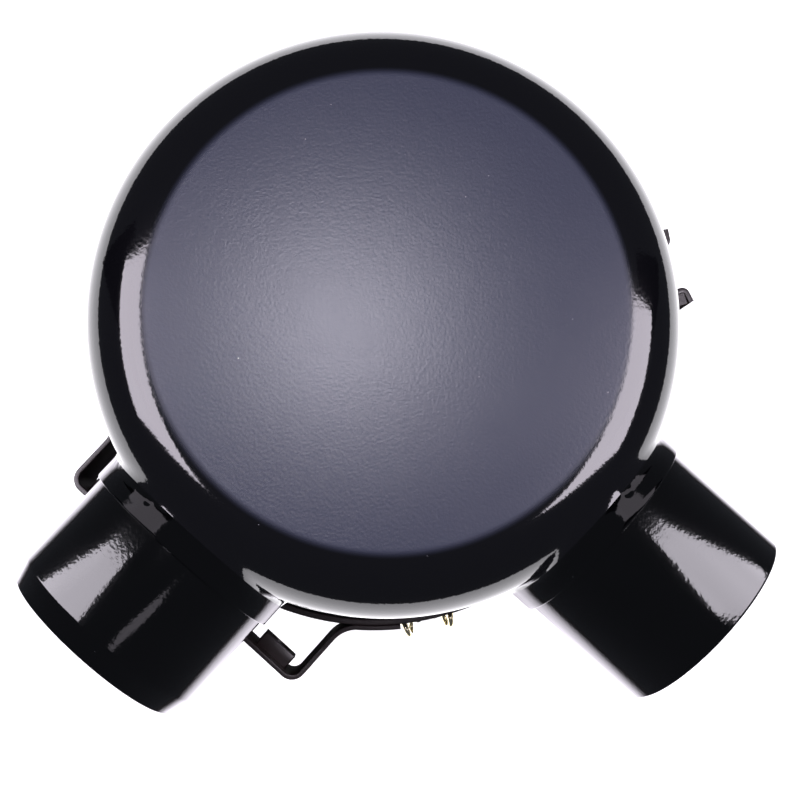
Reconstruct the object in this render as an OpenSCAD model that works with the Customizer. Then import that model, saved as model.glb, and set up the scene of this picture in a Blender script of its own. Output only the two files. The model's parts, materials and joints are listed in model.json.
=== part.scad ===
// Canister air filter housing with a drawn steel body, two radial ports,
// a dust cup held by three spring-wire latches, and a band clamp with a
// U-shaped mounting bracket.
// Origin: centre of the dust cup's resting face. +Z: up, towards the closed
// end. -Y: along the inlet port and the bracket. +X: along the outlet port.

/* [Canister] */
// Outside diameter of the canister
body_d = 162; // [158:1:164]
// Overall height from the resting face to the closed end
height = 190; // [186:1:215]
// Sheet thickness of the canister, tubes and dust cup
wall = 1.5; // [1.2:0.1:1.8]
// Radius of the rounded shoulder around the closed end
shoulder_r = 17; // [12:1:20]

/* [Ports] */
// Outside diameter of both hose tubes
tube_d = 60; // [56:1:61]
// Depth of the port axes below the closed end
port_drop = 35.5; // [34:0.5:40]
// Reach of the inlet tube from the canister axis
inlet_reach = 119.6; // [112:0.2:130]
// Reach of the outlet tube from the canister axis
outlet_reach = 123; // [112:0.5:130]
// Reach of the drawn necks from the canister axis
neck_reach = 84.5; // [83:0.5:90]
// Length of the inlet tube's tapered lead-in
taper_len = 6.5; // [4:0.5:10]

/* [Band and bracket] */
// Width of the band clamp and the bracket strap
band_w = 30; // [24:1:32]
// Depth of the band's upper edge below the closed end
band_drop = 96; // [92:1:98]
// Thickness of the rubber liner under the band
liner_t = 5.1; // [4:0.1:5.4]
// Sheet thickness of the band
band_t = 2; // [1.5:0.1:2.5]
// Sheet thickness of the bracket strap
bracket_t = 1.6; // [1.2:0.1:2.5]
// Distance from the canister axis to the bracket's mounting face
bracket_reach = 98.1; // [97:0.1:104]
// Outside width of the bracket across its legs
bracket_w = 101; // [98:0.2:106]
// How far the bracket's middle is from the axis towards the outlet port
bracket_x = 1.7; // [0:0.1:2.4]
// Spacing of the two mounting holes
mount_spacing = 77; // [72:1:78]
// Direction of the clamp ears around the axis, degrees
ear_azimuth = 60.5; // [45:0.5:66]

/* [Latches] */
// Diameter of the latch wire
wire_d = 2.2; // [2:0.1:2.4]
// Direction of the first latch around the axis, degrees
latch_azimuth = 325; // [322:1:330]

/* [Element] */
// Number of paper pleats
pleats = 56; // [40:4:64]
// Outside diameter of the filter element
element_d = 114; // [108:1:118]

/* [Hidden] */
$fn = 96;
eps = 0.01;

// Canister
body_r = body_d / 2;
body_in = body_r - wall;
flange_z = 40;
flange_r = body_r + 6.5;
flange_t = 1.5;

// Ports
port_z = height - port_drop;
tube_r = tube_d / 2;
tube_in = tube_r - wall - 0.2;
press_gap = 0.05;
tube_step = 0.4;
tail_r = tube_r - tube_step;
neck_in = tail_r + press_gap;
neck_r = tube_r + 1.3;
mouth_r = tube_r - 1.8;
tube_start = 72;

// Outlet cup inside the canister
cup_r = 36;
cup_top = height - wall;
seat_z = 112;
seat_r = 56;

// Filter element
element_r = element_d / 2;
gasket_t = 3.5;
cap_t = 2;
cap_z = seat_z - gasket_t - cap_t;
element_z = 24;
throat_r = 33;
liner_sheet = 0.6;
stud_r = 4;
stud_z = 8.5;
washer_t = 2.5;
washer_r = 11;
nut_hub_r = 7;
nut_h = 7;
thread_gap = 0.08;

// Dust cup
cup_gasket_t = 2.5;
rim_z = flange_z - cup_gasket_t;
bowl_r = body_r - 2;
bowl_corner = 12;

// Band clamp, with the ears' folded leaves
band_z = height - band_drop - band_w;
band_mid = band_z + band_w / 2;
liner_in = body_r + press_gap;
liner_out = liner_in + liner_t;
band_in = liner_out + press_gap;
band_out = band_in + band_t;
ear_tip = 112;
ear_y = 10.6;
ear_half = 2.95;
clamp_x = 98;
bolt_r = 4;
bolt_hole_r = 4.25;
hex_r = 7.5;
bolt_head_t = 5.3;
bolt_nut_t = 6.5;
bolt_washer_t = 1.6;
bolt_washer_r = 8;
bolt_tail = 6;

// Bracket
corner_r = 5;
flare_r = 10;
strap_on_band = band_out + bracket_t;
tail_angle = 9;
mount_hole_r = 4.2;
weld_nut_side = 13;
weld_nut_t = 5;

// Latches: hinge point, coil and nose of the wire
wire_r = wire_d / 2;
hinge_u = body_r + 8.2;
hinge_z = 56;
coil_r = 3.1;
coil_u = hinge_u + coil_r;
coil_v = 7.3;
coil_len = 5;
coil_extra = 0.2;
leg_v = 8.4;
nose_gap = 0.4;
nose_z = rim_z - flange_t - nose_gap - wire_r;
nose_bend = 2.2;
corner_bend = 1.5;
hinge_gap = 0.08;
latch_ear_v = 2.4;
latch_ear_t = 1.4;
latch_plate_t = 1.3;
latch_count = 3;

// ---- helpers ---------------------------------------------------------

// Ring about +Z
module ring(r_out, r_in, z, h) {
    translate([0, 0, z])
    difference() {
        cylinder(r = r_out, h = h);
        translate([0, 0, -1]) cylinder(r = r_in, h = h + 2);
    }
}

// Points of an arc, for revolved outlines
function arc(cx, cy, r, from, to, steps) =
    [for (i = [0:steps]) [cx + r * cos(from + (to - from) * i / steps), cy + r * sin(from + (to - from) * i / steps)]];

// Cylinder along +X, starting at x
module along_x(r, x, length) {
    translate([x, 0, 0]) rotate([0, 90, 0]) cylinder(r = r, h = length);
}

// Cylinder along +Y, centred
module along_y(r, length) {
    rotate([90, 0, 0]) cylinder(r = r, h = length, center = true);
}

// Children turned from +X to the inlet's direction
module at_inlet() {
    rotate([0, 0, -90]) translate([0, 0, port_z]) children();
}

// Children at the outlet
module at_outlet() {
    translate([0, 0, port_z]) children();
}

// Flat ring sector about the origin, between two directions
module sector(r_out, r_in, from, to) {
    far = r_out * 3;
    intersection() {
        difference() {
            circle(r = r_out);
            circle(r = r_in);
        }
        polygon([[0, 0], [far * cos(from), far * sin(from)], [far * cos(to), far * sin(to)]]);
    }
}

// ---- canister and ports ----------------------------------------------

// Outside of the drawn can, closed end up
module can_outside() {
    rotate_extrude()
    polygon(concat(
        [[0, flange_z], [flange_r, flange_z], [flange_r, flange_z + flange_t], [body_r, flange_z + flange_t]],
        arc(body_r - shoulder_r, height - shoulder_r, shoulder_r, 0, 90, 12),
        [[0, height]]));
}

// Inside of the drawn can
module can_inside() {
    rotate_extrude()
    polygon(concat(
        [[0, flange_z - 1], [body_in, flange_z - 1]],
        arc(body_in - shoulder_r + wall, height - shoulder_r, shoulder_r - wall, 0, 90, 12),
        [[0, height - wall]]));
}

// Drawn can with an outward flange at its open end and two drawn necks
module canister() {
    color([0.05, 0.05, 0.06])
    difference() {
        union() {
            can_outside();
            at_inlet() along_x(neck_r, body_r - 30, neck_reach - body_r + 30);
            at_outlet() along_x(neck_r, body_r - 30, neck_reach - body_r + 30);
        }
        can_inside();
        at_inlet() along_x(neck_in, body_r - 31, 60);
        at_outlet() along_x(neck_in, body_r - 31, 60);
    }
}

// Inlet tube: reduced tail in the neck, hose seat, then a tapered lead-in
module inlet_tube() {
    straight_end = inlet_reach - taper_len;
    color([0.06, 0.06, 0.07])
    at_inlet()
    rotate([0, 90, 0])
    rotate_extrude()
    polygon([
        [tube_in, tube_start], [tail_r, tube_start], [tail_r, neck_reach], [tube_r, neck_reach],
        [tube_r, straight_end], [mouth_r, inlet_reach], [mouth_r - wall, inlet_reach], [tube_in, straight_end]
    ]);
}

// Outlet tube: runs on inside the canister to the outlet cup
module outlet_tube() {
    color([0.06, 0.06, 0.07])
    at_outlet()
    difference() {
        union() {
            along_x(tail_r, 0, neck_reach + 1);
            along_x(tube_r, neck_reach, outlet_reach - neck_reach);
        }
        along_x(tube_in, -1, outlet_reach + 2);
        cylinder(r = cup_r + press_gap, h = 4 * tube_r, center = true);
    }
}

// Cup welded under the closed end, open downwards, with the element's seat
module outlet_cup() {
    color([0.55, 0.56, 0.58])
    difference() {
        union() {
            translate([0, 0, seat_z]) cylinder(r = cup_r, h = cup_top - seat_z);
            translate([0, 0, seat_z]) cylinder(r = seat_r, h = wall);
        }
        translate([0, 0, seat_z - 1]) cylinder(r = cup_r - wall, h = cup_top - seat_z + 1 - wall);
        at_outlet() along_x(tube_in, 10, cup_r);
    }
}

// Threaded rod hanging from the outlet cup
module centre_stud() {
    color([0.7, 0.7, 0.7])
    translate([0, 0, stud_z]) cylinder(r = stud_r, h = cup_top - wall - stud_z);
}

// ---- filter element ---------------------------------------------------

module element_gasket() {
    color([0.05, 0.05, 0.05]) ring(seat_r - 5, cup_r + 1, seat_z - gasket_t, gasket_t);
}

// Open end cap with a rim that holds the outer liner
module element_top_cap() {
    color([0.75, 0.72, 0.55])
    difference() {
        translate([0, 0, cap_z - 6]) cylinder(r = element_r, h = 6 + cap_t);
        translate([0, 0, cap_z - 7]) cylinder(r = element_r - 1, h = 7);
        translate([0, 0, cap_z - 8]) cylinder(r = throat_r, h = 20);
    }
}

// Closed end cap, with a hole for the stud
module element_bottom_cap() {
    color([0.75, 0.72, 0.55])
    difference() {
        translate([0, 0, element_z - cap_t]) cylinder(r = element_r, h = 6 + cap_t);
        translate([0, 0, element_z]) cylinder(r = element_r - 1, h = 7);
        translate([0, 0, element_z - 3]) cylinder(r = stud_r + 0.4, h = 4);
    }
}

// Folded paper: a zigzag of constant thickness around the axis
module pleat_pack() {
    outer = element_r - 3;
    inner = throat_r + 3;
    paper = 0.8;
    step = 360 / pleats;
    color([0.85, 0.75, 0.55])
    translate([0, 0, element_z])
    linear_extrude(height = cap_z - element_z)
    difference() {
        polygon([for (i = [0:pleats - 1], s = [0, 1])
            (s == 0 ? outer : inner + paper) * [cos((i + s / 2) * step), sin((i + s / 2) * step)]]);
        polygon([for (i = [0:pleats - 1], s = [0, 1])
            (s == 0 ? outer - 3 * paper : inner - paper) * [cos((i + s / 2) * step), sin((i + s / 2) * step)]]);
    }
}

module outer_liner() {
    color([0.6, 0.6, 0.62]) ring(element_r - 1.4, element_r - 1.4 - liner_sheet, element_z, cap_z - element_z);
}

module inner_liner() {
    color([0.6, 0.6, 0.62]) ring(throat_r + 1.2, throat_r + 1.2 - liner_sheet, element_z, cap_z - element_z);
}

// Ring of slanted vanes that spins the incoming air
module vane_ring() {
    vanes = 14;
    vane_z = 88;
    vane_h = 16;
    color([0.12, 0.12, 0.12])
    union() {
        ring(element_r + 2, element_r + press_gap, vane_z, vane_h);
        intersection() {
            ring(body_in - 3, element_r + 1, vane_z, vane_h);
            union() {
                for (i = [0:vanes - 1])
                    rotate([0, 0, i * 360 / vanes])
                    translate([element_r + 10, 0, vane_z + vane_h / 2])
                    rotate([35, 0, 0])
                    cube([30, 1.6, 2 * vane_h], center = true);
            }
        }
    }
}

module seal_washer() {
    color([0.1, 0.1, 0.1])
    ring(washer_r, stud_r + thread_gap, element_z - cap_t - washer_t, washer_t);
}

// Wing nut on the stud
module wing_nut() {
    top = element_z - cap_t - washer_t;
    color([0.75, 0.7, 0.45])
    difference() {
        union() {
            translate([0, 0, top - nut_h]) cylinder(r = nut_hub_r, h = nut_h);
            for (side = [0, 180])
                rotate([0, 0, side])
                translate([nut_hub_r - 2, -1.25, top - nut_h - 3])
                cube([10, 2.5, nut_h + 1]);
        }
        translate([0, 0, top - nut_h - 4]) cylinder(r = stud_r + thread_gap, h = nut_h + 6);
    }
}

// ---- dust cup ----------------------------------------------------------

// Outline of the bowl, set in from the outside by t
function bowl_outline(t) = concat(
    [[0, t]],
    arc(bowl_r - bowl_corner, bowl_corner, bowl_corner - t, -90, 0, 8));

// Drawn bowl with an outward rim under the gasket
module dust_cup() {
    color([0.05, 0.05, 0.06])
    rotate_extrude()
    difference() {
        union() {
            polygon(concat(bowl_outline(0), [[bowl_r, rim_z - flange_t], [flange_r, rim_z - flange_t],
                [flange_r, rim_z], [0, rim_z]]));
        }
        polygon(concat(bowl_outline(wall), [[bowl_r - wall, rim_z + 1], [0, rim_z + 1]]));
    }
}

module dust_cup_gasket() {
    color([0.08, 0.08, 0.08]) ring(flange_r - 1, body_in + 0.2, rim_z, cup_gasket_t);
}

// Slotted ring that keeps settled dust in the bowl
module dust_baffle() {
    slots = 3;
    color([0.55, 0.56, 0.58])
    difference() {
        ring(bowl_r - wall - press_gap, element_r + 4, 28, 1.2);
        for (i = [0:slots - 1])
            rotate([0, 0, 25 + i * 360 / slots])
            translate([bowl_r - 12, 0, 28]) cube([7, 26, 6], center = true);
    }
}

// ---- band clamp --------------------------------------------------------

// Rubber strip between the canister and the band
module band_liner() {
    gap = 6;
    color([0.04, 0.04, 0.04])
    translate([0, 0, band_z])
    linear_extrude(height = band_w)
    sector_gap(liner_out, liner_in, ear_azimuth, gap);
}

// Ring in plan with a parallel-sided gap
module sector_gap(r_out, r_in, azimuth, half_gap) {
    difference() {
        circle(r = r_out);
        circle(r = r_in);
        rotate([0, 0, azimuth]) translate([0, -half_gap]) square([r_out + 5, 2 * half_gap]);
    }
}

// Plan of one folded ear, on the +Y side of the gap
module ear_plan() {
    translate([0, ear_y])
    difference() {
        union() {
            translate([band_in, -ear_half]) square([ear_tip - ear_half - band_in, 2 * ear_half]);
            translate([ear_tip - ear_half, 0]) circle(r = ear_half);
        }
        translate([band_out + 3, band_t - ear_half])
            square([ear_tip - ear_half - band_out - 3, 2 * (ear_half - band_t)]);
        translate([ear_tip - ear_half, 0]) circle(r = ear_half - band_t);
    }
}

// Steel band with its two ends folded outwards into ears
module band_clamp() {
    gap = ear_y - ear_half;
    color([0.05, 0.05, 0.06])
    difference() {
        translate([0, 0, band_z])
        linear_extrude(height = band_w) {
            sector_gap(band_out, band_in, ear_azimuth, gap);
            rotate([0, 0, ear_azimuth]) {
                ear_plan();
                mirror([0, 1, 0]) ear_plan();
            }
        }
        at_clamp() along_y(bolt_hole_r, 60);
    }
}

// Children at the clamp bolt, which lies along the local Y axis
module at_clamp() {
    rotate([0, 0, ear_azimuth]) translate([clamp_x, 0, band_mid]) children();
}

clamp_face = ear_y + ear_half;

module clamp_bolt() {
    head_y = clamp_face + bolt_washer_t;
    tail_y = clamp_face + bolt_washer_t + bolt_nut_t + bolt_tail;
    color([0.72, 0.68, 0.45])
    at_clamp() {
        translate([0, (head_y - tail_y) / 2 + eps / 2, 0]) along_y(bolt_r, head_y + tail_y + eps);
        translate([0, head_y + bolt_head_t / 2, 0])
            rotate([90, 0, 0]) cylinder(r = hex_r, h = bolt_head_t, center = true, $fn = 6);
    }
}

module clamp_washers() {
    color([0.72, 0.68, 0.45])
    at_clamp()
    for (side = [-1, 1])
        translate([0, side * (clamp_face + bolt_washer_t / 2), 0])
        difference() {
            along_y(bolt_washer_r, bolt_washer_t);
            along_y(bolt_r + 0.2, bolt_washer_t + 2);
        }
}

module clamp_nut() {
    color([0.72, 0.68, 0.45])
    at_clamp()
    translate([0, -(clamp_face + bolt_washer_t + bolt_nut_t / 2), 0])
    difference() {
        rotate([90, 0, 0]) cylinder(r = hex_r, h = bolt_nut_t, center = true, $fn = 6);
        along_y(bolt_r + press_gap, bolt_nut_t + 2);
    }
}

// ---- mounting bracket --------------------------------------------------

// Plan of half a bracket whose leg is leg_x from the axis: tail on the band, flare, leg, corner, base
module bracket_half_plan(leg_x) {
    lap = 1;
    flare_x = leg_x + flare_r;
    flare_y = -sqrt(pow(strap_on_band + flare_r, 2) - pow(flare_x, 2));
    flare_azimuth = atan2(flare_y, flare_x);
    sector(strap_on_band, band_out + press_gap, flare_azimuth - lap, flare_azimuth + tail_angle);
    translate([flare_x, flare_y])
        sector(flare_r + bracket_t, flare_r, atan2(-flare_y, -flare_x) - lap, 180 + lap);
    translate([leg_x - bracket_t, corner_r - bracket_reach])
        square([bracket_t, flare_y + bracket_reach - corner_r]);
    translate([leg_x - corner_r, corner_r - bracket_reach])
        sector(corner_r, corner_r - bracket_t, -90 - lap, lap);
    translate([0, -bracket_reach]) square([leg_x - corner_r, bracket_t]);
}

// U-shaped strap welded to the band, with two holes in its base
module mount_bracket() {
    color([0.05, 0.05, 0.06])
    difference() {
        translate([0, 0, band_z])
        linear_extrude(height = band_w) {
            bracket_half_plan(bracket_w / 2 + bracket_x);
            mirror([1, 0, 0]) bracket_half_plan(bracket_w / 2 - bracket_x);
        }
        at_mount_holes() along_y(mount_hole_r, 4 * bracket_t);
    }
}

// Children at each mounting hole, on the mounting face
module at_mount_holes() {
    for (side = [-1, 1])
        translate([bracket_x + side * mount_spacing / 2, -bracket_reach, band_mid]) children();
}

// Square nuts welded inside the base, bored as plain holes
module weld_nuts() {
    color([0.08, 0.08, 0.09])
    at_mount_holes()
    translate([0, bracket_t + weld_nut_t / 2, 0])
    difference() {
        cube([weld_nut_side, weld_nut_t, weld_nut_side], center = true);
        along_y(mount_hole_r, weld_nut_t + 2);
    }
}

// ---- latches -----------------------------------------------------------

// Children turned to latch k, counted from 1
module at_latch(k) {
    rotate([0, 0, latch_azimuth + (k - 1) * 360 / latch_count]) children();
}

// Bracket spot-welded to the canister, with two ears for the wire
module latch_bracket(k) {
    plate_r = liner_in + latch_plate_t;
    foot = 9;
    color([0.6, 0.58, 0.45])
    at_latch(k)
    difference() {
        union() {
            intersection() {
                ring(plate_r, liner_in, hinge_z - 8, 15);
                translate([body_r - 5, -foot, 0]) cube([10, 2 * foot, height]);
            }
            for (side = [-1, 1])
                translate([liner_in + 0.5, side * (latch_ear_v + latch_ear_t / 2) - latch_ear_t / 2, hinge_z - 4])
                cube([hinge_u - liner_in + 1.6, latch_ear_t, 7]);
        }
        translate([hinge_u, 0, hinge_z]) along_y(wire_r + hinge_gap, 20);
    }
}

// Quarter bend of wire about +Z, from +X to +Y
module wire_bend(bend_r) {
    rotate_extrude(angle = 90) translate([bend_r, 0]) circle(r = wire_r);
}

// One side of the latch wire, on +Y: half the hinge bar, coil, leg, nose
module latch_half() {
    leg_bottom = nose_z + nose_bend;
    bend_u = hinge_u - nose_bend;
    nose_v = leg_v - corner_bend;
    translate([hinge_u, (leg_v - 1) / 2, hinge_z]) along_y(wire_r, leg_v - 1);
    translate([coil_u, coil_v, hinge_z])
    difference() {
        along_y(coil_r + wire_r + coil_extra, coil_len);
        along_y(coil_r - wire_r - coil_extra, coil_len + 2);
    }
    translate([hinge_u, leg_v, leg_bottom]) cylinder(r = wire_r, h = hinge_z - leg_bottom);
    translate([bend_u, leg_v, leg_bottom]) rotate([-90, 0, 0]) wire_bend(nose_bend);
    translate([bend_u, nose_v, nose_z]) rotate([0, 0, 90]) wire_bend(corner_bend);
    translate([bend_u - corner_bend, nose_v / 2, nose_z]) along_y(wire_r, nose_v);
}

// Spring-wire latch, with its coils drawn as plain tubes
module latch_wire(k) {
    color([0.75, 0.68, 0.4])
    at_latch(k) {
        latch_half();
        mirror([0, 1, 0]) latch_half();
    }
}

canister();
inlet_tube();
outlet_tube();
outlet_cup();
centre_stud();
element_gasket();
element_top_cap();
pleat_pack();
outer_liner();
inner_liner();
element_bottom_cap();
vane_ring();
seal_washer();
wing_nut();
dust_cup();
dust_cup_gasket();
dust_baffle();
band_liner();
band_clamp();
clamp_bolt();
clamp_washers();
clamp_nut();
mount_bracket();
weld_nuts();
latch_bracket(1);  // latch_bracket_1
latch_bracket(2);  // latch_bracket_2
latch_bracket(3);  // latch_bracket_3
latch_wire(1);  // latch_wire_1
latch_wire(2);  // latch_wire_2
latch_wire(3);  // latch_wire_3
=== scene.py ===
"""Looks of a canister air filter housing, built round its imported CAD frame.

Lengths are in metres, in the part's own frame: +Z up to the closed end, -Y out of the inlet, +X out of
the outlet.
"""

import json
import math

import bmesh
import bpy
import numpy as np
from mathutils import Matrix, Vector


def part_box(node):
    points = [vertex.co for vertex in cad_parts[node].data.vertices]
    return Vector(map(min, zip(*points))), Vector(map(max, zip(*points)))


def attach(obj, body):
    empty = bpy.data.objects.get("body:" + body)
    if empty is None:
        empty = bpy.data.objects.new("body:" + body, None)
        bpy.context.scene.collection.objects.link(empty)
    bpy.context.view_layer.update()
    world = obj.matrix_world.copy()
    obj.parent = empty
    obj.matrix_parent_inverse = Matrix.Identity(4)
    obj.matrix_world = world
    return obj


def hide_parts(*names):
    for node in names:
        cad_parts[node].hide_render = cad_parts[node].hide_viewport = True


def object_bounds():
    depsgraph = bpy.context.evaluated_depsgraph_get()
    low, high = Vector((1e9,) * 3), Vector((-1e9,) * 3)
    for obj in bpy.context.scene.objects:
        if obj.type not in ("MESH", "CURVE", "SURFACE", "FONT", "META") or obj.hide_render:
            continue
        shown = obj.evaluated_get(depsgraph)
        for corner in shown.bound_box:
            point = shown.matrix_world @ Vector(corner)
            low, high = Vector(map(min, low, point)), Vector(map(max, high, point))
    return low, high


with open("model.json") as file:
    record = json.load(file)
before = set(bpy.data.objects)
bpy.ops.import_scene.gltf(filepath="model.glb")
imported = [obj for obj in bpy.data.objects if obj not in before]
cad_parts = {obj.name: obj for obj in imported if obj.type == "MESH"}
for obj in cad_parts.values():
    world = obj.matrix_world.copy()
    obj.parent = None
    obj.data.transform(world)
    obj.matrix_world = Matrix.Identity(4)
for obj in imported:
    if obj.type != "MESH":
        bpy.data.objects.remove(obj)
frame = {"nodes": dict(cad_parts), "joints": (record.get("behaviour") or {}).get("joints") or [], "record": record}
cad_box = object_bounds()

# ---- sizes, from the frame where it has them ----------------------------

MM = 0.001
mounts = {m["name"]: m for m in frame["record"]["mounts"]}
joints = {j["name"]: j for j in frame["joints"]}

can_low, can_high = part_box("canister")
TOP = can_high.z
FLANGE_Z = can_low.z
FLANGE_R = can_high.y
FLANGE_T = 1.5 * MM
WALL = 1.5 * MM
BODY_R = FLANGE_R - 6.5 * MM
SHOULDER_R = 17 * MM
FACE_R = BODY_R - SHOULDER_R

PORT_Z = mounts["inlet_spigot"]["pos_m"][2]
TUBE_R = mounts["inlet_spigot"]["dims"]["r_mm"] * MM
INLET_REACH = -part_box("inlet_tube")[0].y
OUTLET_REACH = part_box("outlet_tube")[1].x
NECK_REACH = OUTLET_REACH - mounts["outlet_spigot"]["dims"]["length_mm"] * MM
NECK_R = TUBE_R + 1.3 * MM
NECK_BLEND = 3 * MM
COLLAR_START = 77.5 * MM
TAIL_R = TUBE_R - 0.4 * MM
TUBE_IN = TUBE_R - 1.7 * MM
TUBE_START = 72 * MM
TAPER = 6.5 * MM
MOUTH_R = TUBE_R - 1.8 * MM
CUP_R = 36.05 * MM

band_low, band_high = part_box("band_clamp")
BAND_OUT = -band_low.x
BAND_T = 2 * MM
LINER_OUT = -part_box("band_liner")[0].x
LINER_T = 5.1 * MM
SEAM_Z = (band_low.z + band_high.z) / 2
EAR_AZIMUTH = math.radians(60.5)
EAR_Y = 10.6 * MM
EAR_HALF = 2.95 * MM
EAR_TIP = 112 * MM
CLAMP_X = 98 * MM

bracket_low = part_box("mount_bracket")[0]
BRACKET_T = 1.6 * MM
BRACKET_X = mounts["bracket_bolts"]["pos_m"][0]
LEG_HALF = 50.5 * MM
CORNER_R = 5 * MM
FLARE_R = 10 * MM
TAIL_ANGLE = math.radians(9)
HOLE_R = mounts["bracket_bolts"]["dims"]["hole_r_mm"] * MM
HOLE_X = mounts["bracket_bolts"]["dims"]["spacing_x_mm"] * MM / 2

WIRE_R = 1.1 * MM
COIL_R = 3.1 * MM
HINGE_U = Vector(joints["latch_1_swing"]["pos_m"]).xy.length
HINGE_Z = joints["latch_1_swing"]["pos_m"][2]
NOSE_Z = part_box("latch_wire_1")[0].z + WIRE_R

# ---- mesh helpers --------------------------------------------------------


def finish_mesh(name, bm, body, material, replaces=(), sharp=35, closed=True):
    """Turns a bmesh into a shown piece that rides on a body."""
    if closed:
        bmesh.ops.recalc_face_normals(bm, faces=bm.faces)
    mesh = bpy.data.meshes.new(name)
    bm.to_mesh(mesh)
    bm.free()
    for polygon in mesh.polygons:
        polygon.use_smooth = True
    mesh.set_sharp_from_angle(angle=math.radians(sharp))
    obj = bpy.data.objects.new(name, mesh)
    bpy.context.scene.collection.objects.link(obj)
    obj.data.materials.append(material)
    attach(obj, body)
    if replaces:
        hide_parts(*replaces)
    return obj


def apply_modifiers(obj):
    """Bakes an object's modifiers into its mesh."""
    graph = bpy.context.evaluated_depsgraph_get()
    mesh = bpy.data.meshes.new_from_object(obj.evaluated_get(graph))
    obj.modifiers.clear()
    old = obj.data
    obj.data = mesh
    bpy.data.meshes.remove(old)


def cut(obj, cutter, operation="DIFFERENCE"):
    """Boolean of obj with a helper object, which is then removed."""
    modifier = obj.modifiers.new("cut", "BOOLEAN")
    modifier.operation = operation
    modifier.solver = "EXACT"
    modifier.object = cutter
    apply_modifiers(obj)
    bpy.data.objects.remove(cutter)


def bevel(obj, width, angle=40, segments=2):
    modifier = obj.modifiers.new("edges", "BEVEL")
    modifier.width = width
    modifier.segments = segments
    modifier.limit_method = "ANGLE"
    modifier.angle_limit = math.radians(angle)
    modifier.harden_normals = False
    apply_modifiers(obj)
    obj.data.set_sharp_from_angle(angle=math.radians(50))


def helper_cylinder(radius, depth, matrix, segments=64):
    """A plain cylinder along its own Z, only used as a cutter."""
    bm = bmesh.new()
    bmesh.ops.create_cone(bm, cap_ends=True, segments=segments, radius1=radius, radius2=radius, depth=depth)
    bm.transform(matrix)
    mesh = bpy.data.meshes.new("cutter")
    bm.to_mesh(mesh)
    bm.free()
    obj = bpy.data.objects.new("cutter", mesh)
    bpy.context.scene.collection.objects.link(obj)
    return obj


def rounded(corners, closed=True, steps=6):
    """Outline through corners (x, y, radius), with each radius turned into an arc."""
    points = []
    count = len(corners)
    for i, (x, y, r) in enumerate(corners):
        at = Vector((x, y))
        ends = not closed and i in (0, count - 1)
        if r <= 0 or ends:
            points.append(at)
            continue
        before = Vector(corners[i - 1][:2]) - at
        after = Vector(corners[(i + 1) % count][:2]) - at
        half = before.angle(after) / 2
        reach = min(r / math.tan(half), 0.499 * before.length, 0.499 * after.length)
        radius = reach * math.tan(half)
        centre = at + (before.normalized() + after.normalized()).normalized() * (radius / math.sin(half))
        start = at + before.normalized() * reach - centre
        turn = start.angle_signed(at + after.normalized() * reach - centre)
        for k in range(steps + 1):
            angle = -turn * k / steps
            points.append(centre + Matrix.Rotation(angle, 2) @ start)
    return points


def arc(centre, radius, start, end, steps):
    """Points of an arc, angles in radians."""
    return [
        Vector((centre[0] + radius * math.cos(a), centre[1] + radius * math.sin(a)))
        for a in np.linspace(start, end, steps + 1)
    ]


def lathe(outline, segments=160, closed=True):
    """Revolves an outline of (radius, height) about Z. An open outline starts and ends on the axis."""
    bm = bmesh.new()
    rings = []
    for k in range(segments):
        a = 2 * math.pi * k / segments
        rings.append([bm.verts.new((p.x * math.cos(a), p.x * math.sin(a), p.y)) for p in outline])
    count = len(outline)
    for k in range(segments):
        here, there = rings[k], rings[(k + 1) % segments]
        for i in range(count if closed else count - 1):
            j = (i + 1) % count
            bm.faces.new((here[i], there[i], there[j], here[j]))
    bmesh.ops.remove_doubles(bm, verts=bm.verts, dist=1e-7)
    return bm


def strap(path, thickness, low, high, edge, ring=False):
    """A flat strip on edge along a plan path, from height low to high, with rounded edges."""
    section = rounded(
        [
            (-thickness / 2, low, edge),
            (thickness / 2, low, edge),
            (thickness / 2, high, edge),
            (-thickness / 2, high, edge),
        ],
        steps=3,
    )
    bm = bmesh.new()
    count = len(path)
    rows = []
    for i, at in enumerate(path):
        back = path[i - 1] if i or ring else path[0]
        ahead = path[(i + 1) % count] if i + 1 < count or ring else path[-1]
        along = (ahead - back).normalized()
        side = Vector((along.y, -along.x))
        rows.append([bm.verts.new((at.x + side.x * s.x, at.y + side.y * s.x, s.y)) for s in section])
    n = len(section)
    for i in range(count if ring else count - 1):
        here, there = rows[i], rows[(i + 1) % count]
        for k in range(n):
            bm.faces.new((here[k], here[(k + 1) % n], there[(k + 1) % n], there[k]))
    if not ring:
        bm.faces.new(rows[0])
        bm.faces.new(rows[-1])
    return bm


def tube_along(points, radius, sides=16):
    """Round wire along 3-D points, with flat ends."""
    bm = bmesh.new()
    rows = []
    normal = None
    for i, at in enumerate(points):
        along = (points[min(i + 1, len(points) - 1)] - points[max(i - 1, 0)]).normalized()
        if normal is None:
            normal = along.orthogonal().normalized()
        normal = (normal - along * normal.dot(along)).normalized()
        other = along.cross(normal)
        rows.append(
            [
                bm.verts.new(at + normal * radius * math.cos(a) + other * radius * math.sin(a))
                for a in np.linspace(0, 2 * math.pi, sides, endpoint=False)
            ]
        )
    for here, there in zip(rows, rows[1:]):
        for k in range(sides):
            bm.faces.new((here[k], here[(k + 1) % sides], there[(k + 1) % sides], there[k]))
    bm.faces.new(rows[0])
    bm.faces.new(rows[-1])
    return bm


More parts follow.
